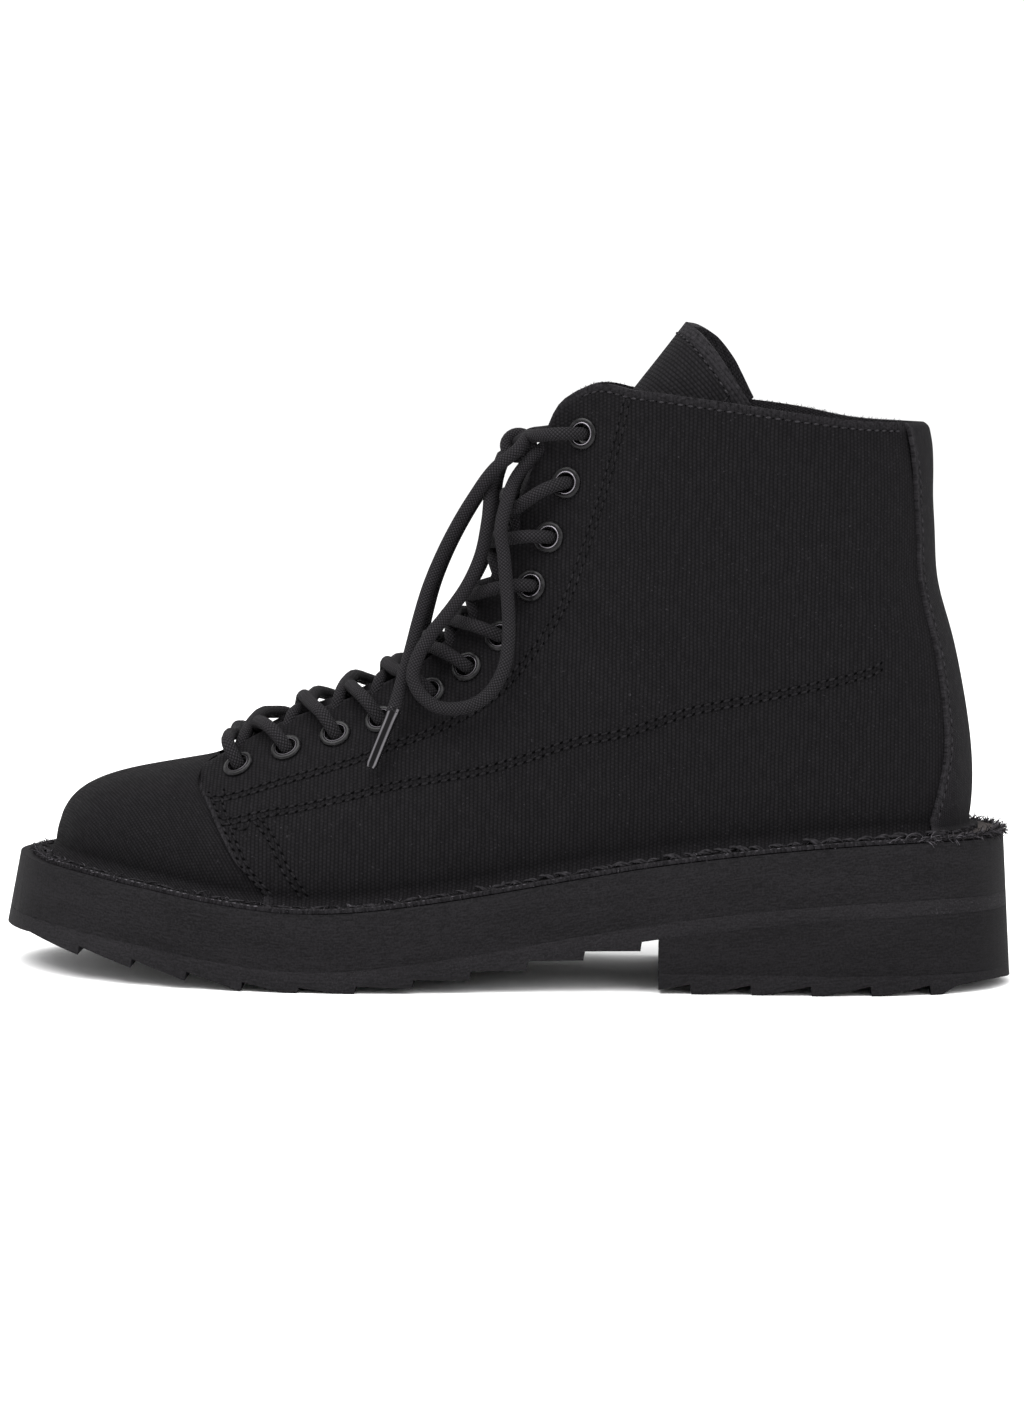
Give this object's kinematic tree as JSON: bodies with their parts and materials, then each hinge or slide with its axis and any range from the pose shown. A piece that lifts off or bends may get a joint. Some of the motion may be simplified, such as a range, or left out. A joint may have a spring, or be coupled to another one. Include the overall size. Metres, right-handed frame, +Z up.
{
  "type": "lace-up ankle boot",
  "caption": "Left black canvas ankle boot laced down to the toe, with a stitched-down edge, thick rubber midsole and saw-tooth sole.",
  "frame": {"origin": "on the floor, under the middle of the boot's length and width", "axes": "+X from toe to heel, -Y the outer side of the foot, +Z up"},
  "size_m": [0.297, 0.1043, 0.1925],
  "materials": {
    "canvas": "matt black duck canvas with a fine rib",
    "strip_canvas": "matt black canvas strip",
    "tongue_canvas": "matt black canvas",
    "insole_board": "plain smooth board",
    "midsole_rubber": "sanded matt black",
    "outsole_rubber": "granular dark grey",
    "heel_rubber": "sanded matt black",
    "top_piece_rubber": "sanded matt black",
    "lace_cord": "round braid, matt",
    "eyelet_metal": "black, half gloss",
    "aglet_plastic": "glossy black sleeve"
  },
  "bodies": {
    "root": {"upper": "canvas", "backstay": "strip_canvas", "tongue": "tongue_canvas", "insole": "insole_board", "midsole": "midsole_rubber", "outsole": "outsole_rubber", "heel_block": "heel_rubber", "heel_top_piece": "top_piece_rubber", "lace": "lace_cord", "eyelet_outer_01": "eyelet_metal", "eyelet_outer_02": "eyelet_metal", "eyelet_outer_03": "eyelet_metal", "eyelet_outer_04": "eyelet_metal", "eyelet_outer_05": "eyelet_metal", "eyelet_outer_06": "eyelet_metal", "eyelet_outer_07": "eyelet_metal", "eyelet_outer_08": "eyelet_metal", "eyelet_outer_09": "eyelet_metal", "eyelet_outer_10": "eyelet_metal", "eyelet_outer_11": "eyelet_metal", "eyelet_inner_01": "eyelet_metal", "eyelet_inner_02": "eyelet_metal", "eyelet_inner_03": "eyelet_metal", "eyelet_inner_04": "eyelet_metal", "eyelet_inner_05": "eyelet_metal", "eyelet_inner_06": "eyelet_metal", "eyelet_inner_07": "eyelet_metal", "eyelet_inner_08": "eyelet_metal", "eyelet_inner_09": "eyelet_metal", "eyelet_inner_10": "eyelet_metal", "eyelet_inner_11": "eyelet_metal", "lace_knot": "lace_cord", "lace_loop_outer": "lace_cord", "lace_loop_inner": "lace_cord", "lace_end_outer": "lace_cord", "lace_end_inner": "lace_cord", "aglet_outer": "aglet_plastic", "aglet_inner": "aglet_plastic"}
  },
  "joints": []
}
